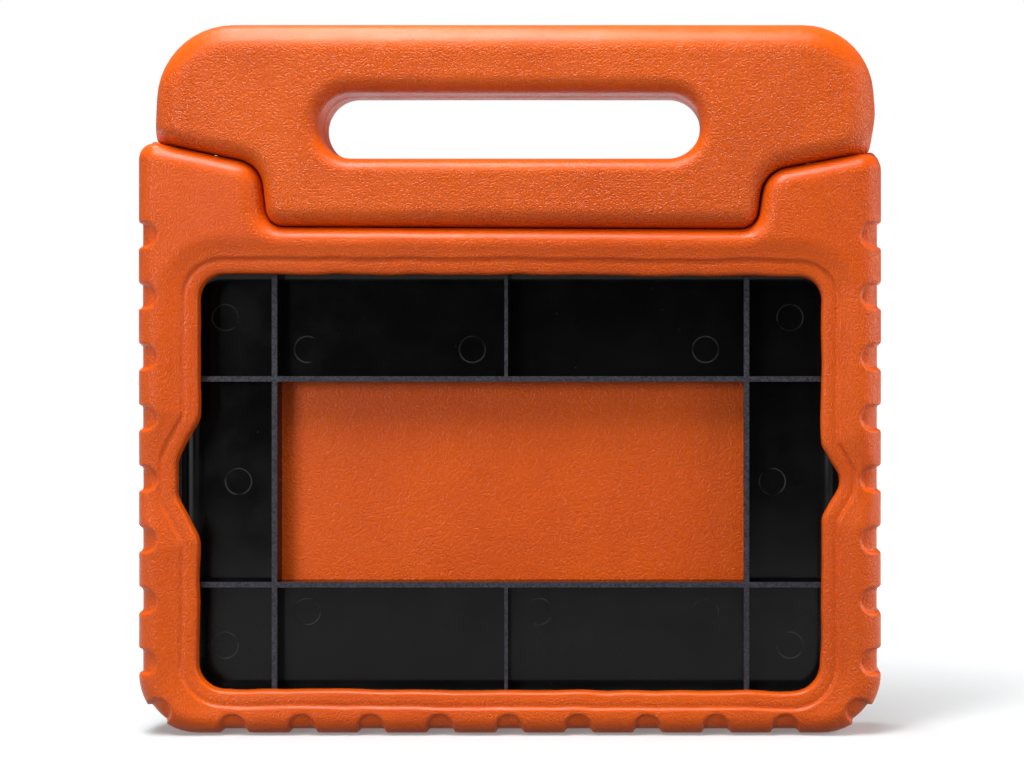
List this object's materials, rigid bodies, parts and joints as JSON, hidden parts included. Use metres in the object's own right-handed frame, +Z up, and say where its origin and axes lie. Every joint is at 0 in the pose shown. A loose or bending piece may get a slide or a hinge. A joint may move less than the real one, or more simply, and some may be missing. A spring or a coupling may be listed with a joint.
{
  "type": "tablet case",
  "caption": "Moulded foam tablet case with a fold-back carry handle, finger slot, screen lip, grip scallops and a ribbed filler tray in the tablet bay.",
  "frame": {"origin": "on the surface that the case stands on, under the middle of its width and depth", "axes": "+X to the right of someone facing the screen, -Y out of the screen side, +Z up through the handle"},
  "size_m": [0.2206, 0.025, 0.2108],
  "materials": {
    "body_foam": "matte",
    "handle_foam": "matte",
    "tray_plastic": "gloss",
    "hinge_plastic": "gloss",
    "washer_plastic": "satin",
    "hinge_steel": "satin"
  },
  "bodies": {
    "case": {"body_foam": "body_foam", "filler_tray": "tray_plastic", "cheek_socket_left": "hinge_plastic", "cheek_socket_right": "hinge_plastic", "friction_washer_left": "washer_plastic", "friction_washer_right": "washer_plastic"},
    "handle": {"handle_foam": "handle_foam", "hinge_core": "hinge_plastic", "pivot_pin_left": "hinge_steel", "pivot_pin_right": "hinge_steel", "retaining_ring_left": "hinge_steel", "retaining_ring_right": "hinge_steel"}
  },
  "joints": [
    {"name": "handle_pivot", "type": "hinge", "parent": "case", "child": "handle", "pos_m": [0, 0.00595, 0.15745], "axis": [-1, 0, 0], "range_deg": [0, 120]}
  ]
}
